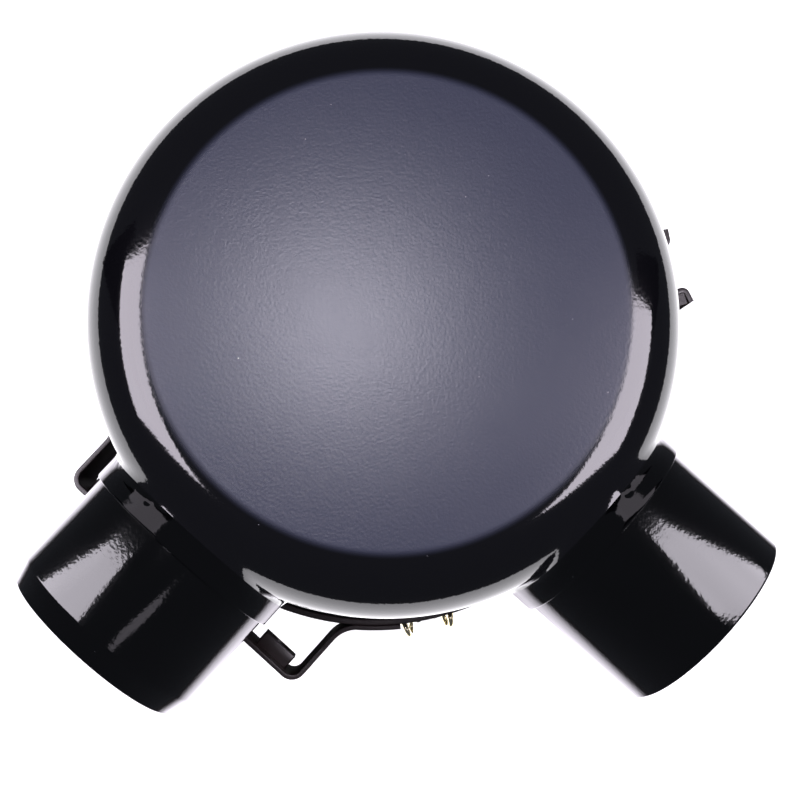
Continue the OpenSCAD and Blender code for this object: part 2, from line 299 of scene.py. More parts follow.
def plate(outline, thickness, hole=None, hole_r=0.0, hole_sides=32):
    """A flat plate in XY, centred on Z = 0, with one round hole."""
    bm = bmesh.new()
    loops = [outline]
    if hole is not None:
        loops.append(arc(hole, hole_r, 0, 2 * math.pi, hole_sides)[:-1])
    edges = []
    for loop in loops:
        verts = [bm.verts.new((p.x, p.y, -thickness / 2)) for p in loop]
        edges += [bm.edges.new((verts[i - 1], verts[i])) for i in range(len(verts))]
    faces = bmesh.ops.triangle_fill(bm, edges=edges, use_beauty=True)["geom"]
    faces = [f for f in faces if isinstance(f, bmesh.types.BMFace)]
    raised = bmesh.ops.extrude_face_region(bm, geom=faces)["geom"]
    lifted = [v for v in raised if isinstance(v, bmesh.types.BMVert)]
    bmesh.ops.translate(bm, verts=lifted, vec=(0, 0, thickness))
    return bm


def threaded_rod(radius, pitch, low, high, sides=48, per_turn=8, chamfer=0.8 * MM):
    """A rod about Z with a helical V thread cut in it."""
    depth = 0.6 * pitch
    steps = int((high - low) / pitch * per_turn)
    bm = bmesh.new()
    rows = []
    for i in range(steps + 1):
        z = low + (high - low) * i / steps
        limit = radius - max(0.0, chamfer - (z - low), chamfer - (high - z))
        row = []
        for k in range(sides):
            phase = (z / pitch + k / sides) % 1
            r = min(radius - depth * abs(2 * phase - 1), limit)
            a = 2 * math.pi * k / sides
            row.append(bm.verts.new((r * math.cos(a), r * math.sin(a), z)))
        rows.append(row)
    for here, there in zip(rows, rows[1:]):
        for k in range(sides):
            bm.faces.new((here[k], here[(k + 1) % sides], there[(k + 1) % sides], there[k]))
    bm.faces.new(rows[0])
    bm.faces.new(rows[-1])
    return bm


# ---- materials -----------------------------------------------------------


class Nodes:
    """Short names for the few shader nodes that the materials share."""

    def __init__(self, name):
        self.material = bpy.data.materials.new(name)
        self.material.use_nodes = True
        self.tree = self.material.node_tree
        self.shader = self.tree.nodes["Principled BSDF"]
        self.coords = self.tree.nodes.new("ShaderNodeTexCoord").outputs["Object"]

    def link(self, out, into):
        self.tree.links.new(out, into)

    def noise(self, scale, detail=2.0, rough=0.5):
        node = self.tree.nodes.new("ShaderNodeTexNoise")
        node.inputs["Scale"].default_value = scale
        node.inputs["Detail"].default_value = detail
        node.inputs["Roughness"].default_value = rough
        self.link(self.coords, node.inputs["Vector"])
        return node.outputs["Fac"]

    def cells(self, scale, output="Distance"):
        node = self.tree.nodes.new("ShaderNodeTexVoronoi")
        node.inputs["Scale"].default_value = scale
        self.link(self.coords, node.inputs["Vector"])
        return node.outputs[output]

    def math(self, operation, a, b=None):
        node = self.tree.nodes.new("ShaderNodeMath")
        node.operation = operation
        for socket, value in zip(node.inputs, (a, b)):
            if value is None:
                continue
            if isinstance(value, (int, float)):
                socket.default_value = value
            else:
                self.link(value, socket)
        return node.outputs[0]

    def spread(self, value, low, high, to_low, to_high, smooth=False):
        node = self.tree.nodes.new("ShaderNodeMapRange")
        node.interpolation_type = "SMOOTHSTEP" if smooth else "LINEAR"
        for key, number in zip(("From Min", "From Max", "To Min", "To Max"), (low, high, to_low, to_high)):
            node.inputs[key].default_value = number
        self.link(value, node.inputs["Value"])
        return node.outputs["Result"]

    def mix(self, factor, a, b):
        node = self.tree.nodes.new("ShaderNodeMix")
        node.data_type = "RGBA"
        self.link(factor, node.inputs["Factor"])
        for socket, value in ((node.inputs["A"], a), (node.inputs["B"], b)):
            if isinstance(value, tuple):
                socket.default_value = (*value, 1)
            else:
                self.link(value, socket)
        return node.outputs["Result"]

    def bump(self, height, strength, distance, under=None):
        node = self.tree.nodes.new("ShaderNodeBump")
        node.inputs["Strength"].default_value = strength
        node.inputs["Distance"].default_value = distance
        self.link(height, node.inputs["Height"])
        if under is not None:
            self.link(under, node.inputs["Normal"])
        return node.outputs["Normal"]

    def set(self, **values):
        for key, value in values.items():
            socket = self.shader.inputs[key.replace("_", " ")]
            if isinstance(value, (int, float)):
                socket.default_value = value
            elif isinstance(value, tuple):
                socket.default_value = (*value, 1)
            else:
                self.link(value, socket)
        return self.material

    def from_axis(self):
        """Distance from the canister's axis."""
        split = self.tree.nodes.new("ShaderNodeSeparateXYZ")
        self.link(self.coords, split.inputs[0])
        square_x = self.math("MULTIPLY", split.outputs[0], split.outputs[0])
        square_y = self.math("MULTIPLY", split.outputs[1], split.outputs[1])
        return self.math("SQRT", self.math("ADD", square_x, square_y))


def paint(name, color, rough, peel):
    """Baked black paint with orange peel and a few dust specks."""
    n = Nodes(name)
    specks = n.math("LESS_THAN", n.cells(130), 0.018)
    tone = n.mix(n.spread(n.noise(45, 2), 0.35, 0.65, 0, 1), color, tuple(1.5 * c for c in color))
    coat = n.mix(specks, tone, (0.22, 0.22, 0.24))
    even = n.spread(n.noise(60, 3), 0.3, 0.7, 0.85 * rough, 1.2 * rough)
    normal = n.bump(n.noise(950, 1.5), 1.0, peel)
    return n.set(Base_Color=coat, Roughness=even, Normal=normal, IOR=1.52)


def paint_with_face_sheen(name, color, rough, peel, face_sheen_color, face_rough, face_peel):
    """The can's black paint: glossy on the shoulder, satin on the closed end, whose bluish grey base colour is
    painted sheen of the lights.
    """
    n = Nodes(name)
    face = n.spread(n.from_axis(), FACE_R - 1.5 * MM, FACE_R + 1.2 * MM, 1, 0, True)
    specks = n.math("LESS_THAN", n.cells(130), 0.018)
    # Painted sheen: on the closed end a bluish grey base colour stands in for the lights' sheen on the satin black
    # paint.
    coat = n.mix(specks, n.mix(face, color, face_sheen_color), (0.22, 0.22, 0.24))
    even = n.spread(n.noise(60, 2), 0.1, 0.9, 0.96, 1.04)
    gloss = n.math("ADD", rough, n.math("MULTIPLY", face, face_rough - rough))
    fine = n.bump(n.noise(950, 1.5), 1.0, peel)
    normal = n.bump(n.math("MULTIPLY", n.noise(1300, 2), face), 1.0, face_peel, fine)
    return n.set(Base_Color=coat, Roughness=n.math("MULTIPLY", gloss, even), Normal=normal, IOR=1.52)


def plated(name, color, tint, rough):
    """Zinc plate with the faint colour drift of its passivate."""
    n = Nodes(name)
    drift = n.spread(n.noise(90, 2), 0.35, 0.65, 0, 1)
    roughness = n.spread(n.noise(400, 3), 0.3, 0.7, 0.8 * rough, 1.4 * rough)
    normal = n.bump(n.noise(1500, 2), 0.6, 0.02 * MM)
    return n.set(Base_Color=n.mix(drift, color, tint), Metallic=1.0, Roughness=roughness, Normal=normal)


def galvanised(name):
    """Galvanised sheet with its spangle."""
    n = Nodes(name)
    spangle = n.cells(170, output="Color")
    grey = n.spread(spangle, 0, 1, 0, 1)
    color = n.mix(grey, (0.5, 0.51, 0.53), (0.68, 0.69, 0.7))
    roughness = n.spread(grey, 0, 1, 0.28, 0.46)
    normal = n.bump(n.noise(900, 3), 0.5, 0.02 * MM)
    return n.set(Base_Color=color, Metallic=1.0, Roughness=roughness, Normal=normal)


def moulded(name, color, rough, grain):
    """Rubber or plastic with a fine moulded grain."""
    n = Nodes(name)
    shade = n.spread(n.noise(60, 3), 0.3, 0.7, 0, 1)
    roughness = n.spread(n.noise(300, 3), 0.3, 0.7, 0.85 * rough, 1.1 * rough)
    normal = n.bump(n.noise(1600, 2), 0.8, grain)
    tone = n.mix(shade, color, tuple(1.6 * c for c in color))
    return n.set(Base_Color=tone, Roughness=roughness, Normal=normal)


def pleated_paper(name):
    n = Nodes(name)
    fibres = n.noise(2200, 5, 0.7)
    shade = n.spread(n.noise(300, 4), 0.3, 0.7, 0, 1)
    color = n.mix(shade, (0.78, 0.66, 0.42), (0.9, 0.8, 0.58))
    return n.set(Base_Color=color, Roughness=0.85, Normal=n.bump(fibres, 0.8, 0.06 * MM))


BLACK = (0.0022, 0.0022, 0.003)
# The closed end's bluish grey colour below is painted sheen, not a second paint colour.
CAN_PAINT = paint_with_face_sheen("can_paint", BLACK, 0.07, 0.014 * MM, (0.0225, 0.0255, 0.0435), 0.26, 0.03 * MM)
TUBE_PAINT = paint("tube_paint", BLACK, 0.08, 0.022 * MM)
BRACKET_PAINT = paint("bracket_paint", (0.016, 0.011, 0.011), 0.36, 0.03 * MM)
STEEL = galvanised("bare_steel")
ZINC = plated("zinc_plate", (0.8, 0.72, 0.5), (0.74, 0.6, 0.4), 0.26)
WIRE = plated("latch_wire", (0.86, 0.8, 0.58), (0.8, 0.7, 0.42), 0.2)
RUBBER = moulded("rubber", (0.012, 0.012, 0.012), 0.55, 0.03 * MM)
PLASTIC = moulded("black_plastic", (0.02, 0.02, 0.02), 0.42, 0.02 * MM)
PAPER = pleated_paper("filter_paper")

MATERIALS = {
    "can_paint": CAN_PAINT,
    "tube_paint": TUBE_PAINT,
    "bracket_paint": BRACKET_PAINT,
    "bare_steel": STEEL,
    "zinc_plate": ZINC,
    "latch_wire": WIRE,
    "rubber": RUBBER,
    "black_plastic": PLASTIC,
    "filter_paper": PAPER,
}

# ---- canister ------------------------------------------------------------

DIMPLES = [Vector((-12.6, -78.2, 0)) * MM, Vector((78.2, 6.8, 0)) * MM]
DIMPLE_R = 1.5 * MM
DIMPLE_DEPTH = 0.2 * MM


def smooth_union(a, b, blend):
    h = np.clip(blend - np.abs(a - b), 0, None) / blend
    return np.minimum(a, b) - h * h * blend / 4


def can_field(p):
    """Signed distance to the can's outside: rounded cylinder, two necks and their dimples."""
    radial = np.hypot(p[:, 0], p[:, 1]) - FACE_R
    above = p[:, 2] - (TOP - SHOULDER_R)
    outside = np.hypot(np.clip(radial, 0, None), np.clip(above, 0, None))
    can = outside + np.minimum(np.maximum(radial, above), 0) - SHOULDER_R
    start = 0.25 * BODY_R
    inlet = np.maximum(np.hypot(p[:, 0], p[:, 2] - PORT_Z) - NECK_R, start + p[:, 1])
    outlet = np.maximum(np.hypot(p[:, 1], p[:, 2] - PORT_Z) - NECK_R, start - p[:, 0])
    field = smooth_union(smooth_union(can, inlet, NECK_BLEND), outlet, NECK_BLEND)
    for spot in DIMPLES:
        away = np.hypot(p[:, 0] - spot.x, p[:, 1] - spot.y) / DIMPLE_R
        field = field + np.where(p[:, 2] > PORT_Z, DIMPLE_DEPTH * np.exp(-(away**4)), 0)
    return field


def settle(points, rounds=3):
    """Moves points onto the zero surface of can_field."""
    h = 1e-6
    for _ in range(rounds):
        value = can_field(points)
        slope = np.stack([(can_field(points + h * axis) - value) / h for axis in np.eye(3)], 1)
        slope /= np.clip(np.linalg.norm(slope, axis=1, keepdims=True), 0.3, None)
        points = points - value[:, None] * slope
    return points


def surface_nets(field, origin, step):
    """Quads of the field's zero surface, with one vertex in each cell that it crosses."""
    inside = field < 0
    size = np.array(field.shape) - 1
    corners = []
    for i, j, k in np.ndindex(2, 2, 2):
        corners.append(inside[i : i + size[0], j : j + size[1], k : k + size[2]])
    crossed = np.any(corners, axis=0) & ~np.all(corners, axis=0)
    index = np.full(crossed.shape, -1)
    index[crossed] = np.arange(crossed.sum())
    points = origin + (np.argwhere(crossed) + 0.5) * step
    quads = []
    for axis in range(3):
        order = (axis, (axis + 1) % 3, (axis + 2) % 3)
        solid = np.transpose(inside, order)
        cell = np.transpose(index, order)
        i, j, k = np.argwhere(solid[:-1, 1:-1, 1:-1] != solid[1:, 1:-1, 1:-1]).T
        j, k = j + 1, k + 1
        quad = np.stack([cell[i, j - 1, k - 1], cell[i, j, k - 1], cell[i, j, k], cell[i, j - 1, k]], 1)
        outward = solid[i, j, k]
        quad[~outward] = quad[~outward][:, ::-1]
        quads.append(quad)
    return points, np.concatenate(quads)


def even_out(points, quads, rounds=6):
    """Spreads the points evenly over the surface, by turns of averaging and settling."""
    for _ in range(rounds):
        total = np.zeros_like(points)
        count = np.zeros(len(points))
        for a, b in ((0, 1), (1, 2), (2, 3), (3, 0)):
            for one, two in ((a, b), (b, a)):
                np.add.at(total, quads[:, one], points[quads[:, two]])
                np.add.at(count, quads[:, one], 1)
        points = settle(0.5 * points + 0.5 * total / np.clip(count, 1, None)[:, None], 1)
    return points


def trim(bm, at, normal):
    """Removes all that lies past a plane."""
    everything = bm.verts[:] + bm.edges[:] + bm.faces[:]
    bmesh.ops.bisect_plane(bm, geom=everything, plane_co=at, plane_no=normal, clear_outer=True)


def by_dimple(at, reach):
    """True within reach of a dimple, counted in dimple radii."""
    return at.z > PORT_Z and any((at.xy - spot.xy).length < reach * DIMPLE_R for spot in DIMPLES)


def refine_dimples(bm):
    """Finer mesh at the dimples, pressed into shape."""
    near = [f for f in bm.faces if by_dimple(f.calc_center_median(), 3)]
    edges = list({e for f in near for e in f.edges})
    bmesh.ops.subdivide_edges(bm, edges=edges, cuts=4, use_grid_fill=True)
    fine = [v for v in bm.verts if by_dimple(v.co, 3.5) and not v.is_boundary]
    for vert, at in zip(fine, settle(np.array([v.co for v in fine]), 2)):
        vert.co = at


def can_upper():
    """The can down to the middle of the band, with drawn necks that flow into it."""
    step = 1.6 * MM
    reach = NECK_REACH + 6 * step
    low = np.array([-BODY_R - 3 * step, -reach, SEAM_Z - 4 * step])
    high = np.array([reach, BODY_R + 3 * step, TOP + 3 * step])
    axes = [np.arange(a, b, step) for a, b in zip(low, high)]
    grid = np.stack(np.meshgrid(*axes, indexing="ij"), -1)
    field = can_field(grid.reshape(-1, 3)).reshape(grid.shape[:3])
    points, quads = surface_nets(field, low, step)
    points = even_out(settle(points), quads)
    bm = bmesh.new()
    verts = [bm.verts.new(p) for p in points]
    for quad in quads:
        bm.faces.new([verts[i] for i in quad])
    trim(bm, (0, 0, SEAM_Z), (0, 0, -1))
    trim(bm, (NECK_REACH, 0, 0), (1, 0, 0))
    trim(bm, (0, -NECK_REACH, 0), (0, -1, 0))
    refine_dimples(bm)
    obj = finish_mesh("can_upper", bm, "housing", CAN_PAINT, ["canister"], closed=False)
    shell = obj.modifiers.new("sheet", "SOLIDIFY")
    shell.thickness = WALL
    shell.offset = -1
    apply_modifiers(obj)
    bevel(obj, 0.35 * MM, 60)
    return part_collars(obj)


def on_collar(at):
    """True on a neck's free end: past a plane above the neck's middle, and near its wall below."""
    for along, across in ((at.x, at.y), (-at.y, at.x)):
        beside = math.hypot(across, min(at.z - PORT_Z, 0)) < NECK_R + NECK_BLEND
        if along > COLLAR_START and beside:
            return True
    return False


def cut_at_neck(bm, out):
    """Cuts the faces round one neck along a plane across it, without parting them."""
    across = Vector((out.y, out.x, 0))
    near = []
    for face in bm.faces:
        at = face.calc_center_median()
        if (
            abs(at.dot(out) - COLLAR_START) < 4 * MM
            and at.z > FLANGE_Z + TUBE_R
            and abs(at.dot(across)) < NECK_R + 2 * MM
        ):
            near.append(face)
    geom = near + list({e for f in near for e in f.edges}) + list({v for f in near for v in f.verts})
    bmesh.ops.bisect_plane(bm, geom=geom, dist=1e-6, plane_co=out * COLLAR_START, plane_no=out)


def part_collars(can):
    """Parts the necks' free ends from the can, because the studio lights them as it lights the tubes."""
    bm = bmesh.new()
    bm.from_mesh(can.data)
    cut_at_neck(bm, Vector((1, 0, 0)))
    cut_at_neck(bm, Vector((0, -1, 0)))
    other = bm.copy()
    for mesh, keep in ((bm, False), (other, True)):
        drop = [f for f in mesh.faces if on_collar(f.calc_center_median()) != keep]
        bmesh.ops.delete(mesh, geom=drop, context="FACES")
    bm.to_mesh(can.data)
    bm.free()
    can.data.set_sharp_from_angle(angle=math.radians(50))
    whole = ["canister"]
    collars = finish_mesh("neck_collars", other, "housing", CAN_PAINT, whole, 50, False)
    return can, collars


def can_skirt():
    """The can below the seam, which the band's liner covers, with its turned-out flange."""
    inner = BODY_R - WALL
    outline = rounded(
        [
            (BODY_R, SEAM_Z, 0),
            (BODY_R, FLANGE_Z + FLANGE_T, 2 * MM),
            (FLANGE_R, FLANGE_Z + FLANGE_T, 0.7 * MM),
            (FLANGE_R, FLANGE_Z, 0.7 * MM),
            (inner, FLANGE_Z, 2.5 * MM),
            (inner, SEAM_Z, 0),
        ]
    )
    return finish_mesh("can_skirt", lathe(outline), "housing", CAN_PAINT, ["canister"])


# ---- tubes ---------------------------------------------------------------


def to_port(inlet):
    """Turns a piece lathed about Z into the port's place and direction."""
    turn = Matrix.Rotation(math.pi / 2, 4, "X") if inlet else Matrix.Rotation(math.pi / 2, 4, "Y")
    return Matrix.Translation((0, 0, PORT_Z)) @ turn


def inlet_pipe():
    bend = INLET_REACH - TAPER
    outline = rounded(
        [
            (TUBE_IN, TUBE_START, 0.3 * MM),
            (TAIL_R, TUBE_START, 0.5 * MM),
            (TAIL_R, NECK_REACH, 0.1 * MM),
            (TUBE_R, NECK_REACH, 0.2 * MM),
            (TUBE_R, bend, 3 * MM),
            (MOUTH_R, INLET_REACH, 0.6 * MM),
            (MOUTH_R - WALL, INLET_REACH, 0.6 * MM),
            (TUBE_IN, bend, 3 * MM),
        ]
    )
    bm = lathe(outline)
    bm.transform(to_port(True))
    return finish_mesh("inlet_pipe", bm, "housing", TUBE_PAINT, ["inlet_tube"])


def outlet_pipe():
    outline = rounded(
        [
            (TUBE_IN, 0, 0),
            (TAIL_R, 0, 0),
            (TAIL_R, NECK_REACH, 0.1 * MM),
            (TUBE_R, NECK_REACH, 0.2 * MM),
            (TUBE_R, OUTLET_REACH, 0.7 * MM),
            (TUBE_IN, OUTLET_REACH, 0.7 * MM),
        ]
    )
    bm = lathe(outline)
    bm.transform(to_port(False))
    for vert in bm.verts:
        if abs(vert.co.x) < 1e-6:
            vert.co.x = math.sqrt(CUP_R**2 - vert.co.y**2)
    return finish_mesh("outlet_pipe", bm, "housing", TUBE_PAINT, ["outlet_tube"])


# ---- dust cup ------------------------------------------------------------


def dust_bowl():
    """Drawn cup with a turned-out rim."""
    low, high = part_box("dust_cup")
    radius = FLANGE_R - 8.5 * MM
    inner = radius - WALL
    corner = 12 * MM
    outline = rounded(
        [
            (0, low.z, 0),
            (radius, low.z, corner),
            (radius, high.z - FLANGE_T, 1.2 * MM),
            (FLANGE_R, high.z - FLANGE_T, 0.7 * MM),
            (FLANGE_R, high.z, 0.7 * MM),
            (inner, high.z, 2.2 * MM),
            (inner, low.z + WALL, corner - WALL),
            (0, low.z + WALL, 0),
        ],
        closed=False,
        steps=10,
    )
    bm = lathe(outline, closed=False)
    return finish_mesh("dust_bowl", bm, "housing", CAN_PAINT, ["dust_cup"])


def rim_gasket():
    low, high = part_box("dust_cup_gasket")
    outer, inner = high.x, BODY_R - 1.3 * MM
    edge = 0.9 * MM
    corners = [(outer, low.z), (outer, high.z), (inner, high.z), (inner, low.z)]
    outline = rounded([(*corner, edge) for corner in corners])
    finish_mesh("rim_gasket", lathe(outline), "housing", RUBBER, ["dust_cup_gasket"])


# ---- band clamp ----------------------------------------------------------


def ear_frame():
    return Matrix.Rotation(EAR_AZIMUTH, 4, "Z")


def ear_filler(side):
    """Solid packing inside an ear's hook, that the clamp bolt presses on."""
    inner, outer = EAR_Y - EAR_HALF + BAND_T + 0.05 * MM, EAR_Y + EAR_HALF
    start, end = BAND_OUT + 2.5 * MM, EAR_TIP - BAND_T - 0.05 * MM
    edge = 0.25 * MM
    corners = [(start, inner), (end, inner), (end, outer), (start, outer)]
    outline = rounded([(*corner, edge) for corner in corners], steps=2)
    bm = plate([Vector((p.x, side * p.y)) for p in outline], band_high.z - band_low.z - 0.4 * MM)
    bm.transform(ear_frame() @ Matrix.Translation((0, 0, SEAM_Z)))
    number = (3 - side) // 2
    return finish_mesh(f"ear_filler_{number}", bm, "housing", BRACKET_PAINT, ["band_clamp"])


def clamp_strap():
    """One steel strip: hooked ear, bend, once round the can, bend, hooked ear."""
    ring_r = BAND_OUT - BAND_T / 2
    near = EAR_Y - EAR_HALF + BAND_T / 2
    bend, hook = 2.5 * MM, 1.6 * MM
    hook_x = EAR_TIP - BAND_T / 2 - hook
    meet = math.sqrt((ring_r + bend) ** 2 - (near + bend) ** 2)
    turn = math.atan2(near + bend, meet)
    half = [Vector((EAR_TIP - BAND_T / 2 + 0.5 * MM, EAR_Y + EAR_HALF))]
    half += arc((hook_x, near + hook), hook, 0, -math.pi / 2, 8)
    half += arc((meet, near + bend), bend, -math.pi / 2, -math.pi + turn, 6)
    half += arc((0, 0), ring_r, turn, math.pi, 90)[1:]
    other = [Vector((p.x, -p.y)) for p in reversed(half[:-1])]
    bm = strap(half + other, BAND_T, band_low.z, band_high.z, 0.35 * MM)
    bm.transform(ear_frame())
    obj = finish_mesh("clamp_strap", bm, "housing", BRACKET_PAINT, ["band_clamp"])
    place = ear_frame() @ Matrix.Translation((CLAMP_X, 0, SEAM_Z)) @ Matrix.Rotation(math.pi / 2, 4, "X")
    for piece in (obj, ear_filler(-1), ear_filler(1)):
        cut(piece, helper_cylinder(4.25 * MM, 60 * MM, place))
        piece.data.set_sharp_from_angle(angle=math.radians(40))


def liner_strip():
    low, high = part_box("band_liner")
    middle = LINER_OUT - LINER_T / 2
    gap = math.asin(6 * MM / middle)
    path = arc((0, 0), middle, EAR_AZIMUTH + gap, EAR_AZIMUTH + 2 * math.pi - gap, 140)
    bm = strap(path, LINER_T, low.z, high.z, 1.2 * MM)
    finish_mesh("liner_strip", bm, "housing", RUBBER, ["band_liner"])


def chamfered_hex(name, radius, thickness, hole_r, place, both_ends):
    """Hexagon head or nut whose corners are turned off at one or both ends."""
    hole = (0, 0) if hole_r else None
    bm = plate(arc((0, 0), radius, 0, 2 * math.pi, 6)[:-1], thickness, hole, hole_r)
    bm.transform(place)
    obj = finish_mesh(name, bm, "housing", ZINC)
    half = thickness / 2
    slope = 0.9 * MM
    low = [(0, -half, 0), (radius * 0.93, -half, 0), (radius * 1.03, -half + slope, 0)]
    if not both_ends:
        low = [(0, -half, 0), (radius * 1.03, -half, 0)]
    high = [(radius * 1.03, half - slope, 0), (radius * 0.93, half, 0), (0, half, 0)]
    turned = lathe(rounded(low + high, closed=False), 64, closed=False)
    bmesh.ops.recalc_face_normals(turned, faces=turned.faces)
    turned.transform(place @ Matrix.Scale(1.001, 4, (0, 0, 1)))
    mesh = bpy.data.meshes.new("turned")
    turned.to_mesh(mesh)
    turned.free()
    cutter = bpy.data.objects.new("turned", mesh)
    bpy.context.scene.collection.objects.link(cutter)
    cut(obj, cutter, "INTERSECT")
    bevel(obj, 0.12 * MM, 25, 1)
    return obj


def clamp_hardware():
    """Hex bolt through both ears, with washers and nut."""
    face = EAR_Y + EAR_HALF
    washer_t, head_t, nut_t, hex_r, tail = 1.6 * MM, 5.3 * MM, 6.5 * MM, 7.5 * MM, 6 * MM
    along = ear_frame() @ Matrix.Translation((CLAMP_X, 0, SEAM_Z)) @ Matrix.Rotation(-math.pi / 2, 4, "X")
    head = along @ Matrix.Translation((0, 0, face + washer_t + head_t / 2))
    nut = along @ Matrix.Translation((0, 0, -face - washer_t - nut_t / 2))
    chamfered_hex("bolt_head", hex_r, head_t, 0, head, False)
    nut_obj = chamfered_hex("hex_nut", hex_r, nut_t, 4.05 * MM, nut, True)
    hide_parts("clamp_nut")
    bm = threaded_rod(4 * MM, 1.25 * MM, -face - washer_t - nut_t - tail, face + washer_t)
    bm.transform(along)
    finish_mesh("bolt_shank", bm, "housing", ZINC, ["clamp_bolt"], sharp=60)
    for k, side in enumerate((-1, 1)):
        bm = plate(arc((0, 0), 8 * MM, 0, 2 * math.pi, 48)[:-1], washer_t, (0, 0), 4.2 * MM)
        bm.transform(along @ Matrix.Translation((0, 0, side * (face + washer_t / 2))))
        washer = finish_mesh(f"flat_washer_{k + 1}", bm, "housing", ZINC)
        bevel(washer, 0.25 * MM, 40)
        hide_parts("clamp_washers")


# ---- bracket -------------------------------------------------------------


def hole_places():
    """Where each mounting hole is, with Z along the bolt."""
    turn = Matrix.Rotation(math.pi / 2, 4, "X")
    across = [BRACKET_X - HOLE_X, BRACKET_X + HOLE_X]
    return [Matrix.Translation((x, bracket_low.y, SEAM_Z)) @ turn for x in across]


def bracket_half(leg_x):
    """Path from the tail on the band, through flare, leg and corner, to the start of the base."""
    half_t = BRACKET_T / 2
    on_band = BAND_OUT + BRACKET_T
    flare_x = leg_x + FLARE_R
    flare_y = -math.sqrt((on_band + FLARE_R) ** 2 - flare_x**2)
    meet = math.atan2(flare_y, flare_x)
    corner = (leg_x - CORNER_R, bracket_low.y + CORNER_R)
    path = arc((0, 0), BAND_OUT + 0.05 * MM + half_t, meet + TAIL_ANGLE, meet, 10)
    path += arc((flare_x, flare_y), FLARE_R + half_t, meet + math.pi, math.pi, 12)[1:]
    return path + arc(corner, CORNER_R - half_t, 0, -math.pi / 2, 10)


def bracket_strap():
    """U-shaped strip whose legs flare onto the band."""
    other = [Vector((-p.x, p.y)) for p in reversed(bracket_half(LEG_HALF - BRACKET_X))]
    path = bracket_half(LEG_HALF + BRACKET_X) + other
    bm = strap(path, BRACKET_T, band_low.z, band_high.z, 0.3 * MM)
    obj = finish_mesh("bracket_strap", bm, "housing", BRACKET_PAINT, ["mount_bracket"])
    for place in hole_places():
        cut(obj, helper_cylinder(HOLE_R, 8 * BRACKET_T, place))
    obj.data.set_sharp_from_angle(angle=math.radians(40))


def square_nuts():
    """Square nuts welded inside the bracket's base."""
    low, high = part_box("weld_nuts")
    thick = high.y - low.y
    half = (high.z - low.z) / 2
    corners = [(-half, -half), (half, -half), (half, half), (-half, half)]
    outline = rounded([(*corner, 0.8 * MM) for corner in corners])
    for k, place in enumerate(hole_places()):
        bm = plate(outline, thick, (0, 0), HOLE_R)
        bm.transform(place @ Matrix.Translation((0, 0, -(low.y - bracket_low.y) - thick / 2)))
        nut = finish_mesh(f"square_nut_{k + 1}", bm, "housing", BRACKET_PAINT)
        bevel(nut, 0.5 * MM, 40)
        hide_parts("weld_nuts")


# ---- latches -------------------------------------------------------------


def latch_place(k):
    """Turn from +X to latch k."""
    hinge = Vector(joints[f"latch_{k}_swing"]["pos_m"])
    return Matrix.Rotation(math.atan2(hinge.y, hinge.x), 4, "Z")


def latch_mount(k):
    """Plate on the can with two ears that hold the wire's hinge bar."""
    plate_t, ear_t, ear_v, foot = 1.3 * MM, 1.4 * MM, 2.4 * MM, 9 * MM
    inner = BODY_R + 0.05 * MM
    middle = inner + plate_t / 2
    half = math.asin(foot / middle)
    bm = strap(arc((0, 0), middle, -half, half, 14), plate_t, HINGE_Z - 8 * MM, HINGE_Z + 7 * MM, 0.35 * MM)
    bm.transform(latch_place(k))
    finish_mesh(f"latch_plate_{k}", bm, "housing", ZINC, [f"latch_bracket_{k}"])
    outer = HINGE_U + 2.1 * MM
    outline = rounded(
        [
            (inner + 0.5 * MM, HINGE_Z - 4 * MM, 0),
            (outer, HINGE_Z - 3.4 * MM, 2.6 * MM),
            (outer, HINGE_Z + 3 * MM, 2.6 * MM),
            (inner + 0.5 * MM, HINGE_Z + 3 * MM, 0),
        ]
    )
    bracket = [f"latch_bracket_{k}"]
    for n, side in enumerate((-1, 1)):
        bm = plate(outline, ear_t, (HINGE_U, HINGE_Z), WIRE_R + 0.08 * MM)
        bm.transform(Matrix.Rotation(math.pi / 2, 4, "X"))
        bm.transform(latch_place(k) @ Matrix.Translation((0, side * (ear_v + ear_t / 2), 0)))
        ear = finish_mesh(f"latch_ear_{k}_{n + 1}", bm, "housing", ZINC, bracket)
        bevel(ear, 0.25 * MM, 50)


def coil_side(first_v, last_v):
    """Half a latch wire: hinge bar, one open turn out to the leg, then down to the nose."""
    coil_u = HINGE_U + COIL_R
    nose_bend, corner_bend, hinge_bend = 2.2 * MM, 1.5 * MM, 1.4 * MM
    half = [Vector((HINGE_U, 0, HINGE_Z)), Vector((HINGE_U, first_v - hinge_bend, HINGE_Z))]
    for a in np.linspace(0, math.pi / 2, 7)[1:]:
        v = first_v - hinge_bend + hinge_bend * math.sin(a)
        half.append(Vector((HINGE_U, v, HINGE_Z - hinge_bend * (1 - math.cos(a)))))
    start = math.pi + math.asin(hinge_bend / COIL_R)
    turns = np.linspace(start, 3 * math.pi, 40)[1:]
    for a in turns:
        v = first_v + (last_v - first_v) * (a - start) / (turns[-1] - start)
        half.append(Vector((coil_u + COIL_R * math.cos(a), v, HINGE_Z + COIL_R * math.sin(a))))
    knee = NOSE_Z + nose_bend
    half.append(Vector((HINGE_U, last_v, HINGE_Z - 4 * MM)))
    half.append(Vector((HINGE_U, last_v, (HINGE_Z + knee) / 2)))
    for a in np.linspace(0, math.pi / 2, 8):
        u = HINGE_U - nose_bend * (1 - math.cos(a))
        half.append(Vector((u, last_v, knee - nose_bend * math.sin(a))))
    for a in np.linspace(0, math.pi / 2, 7)[1:]:
        u = HINGE_U - nose_bend - corner_bend * math.sin(a)
        half.append(Vector((u, last_v - corner_bend * (1 - math.cos(a)), NOSE_Z)))
    return half


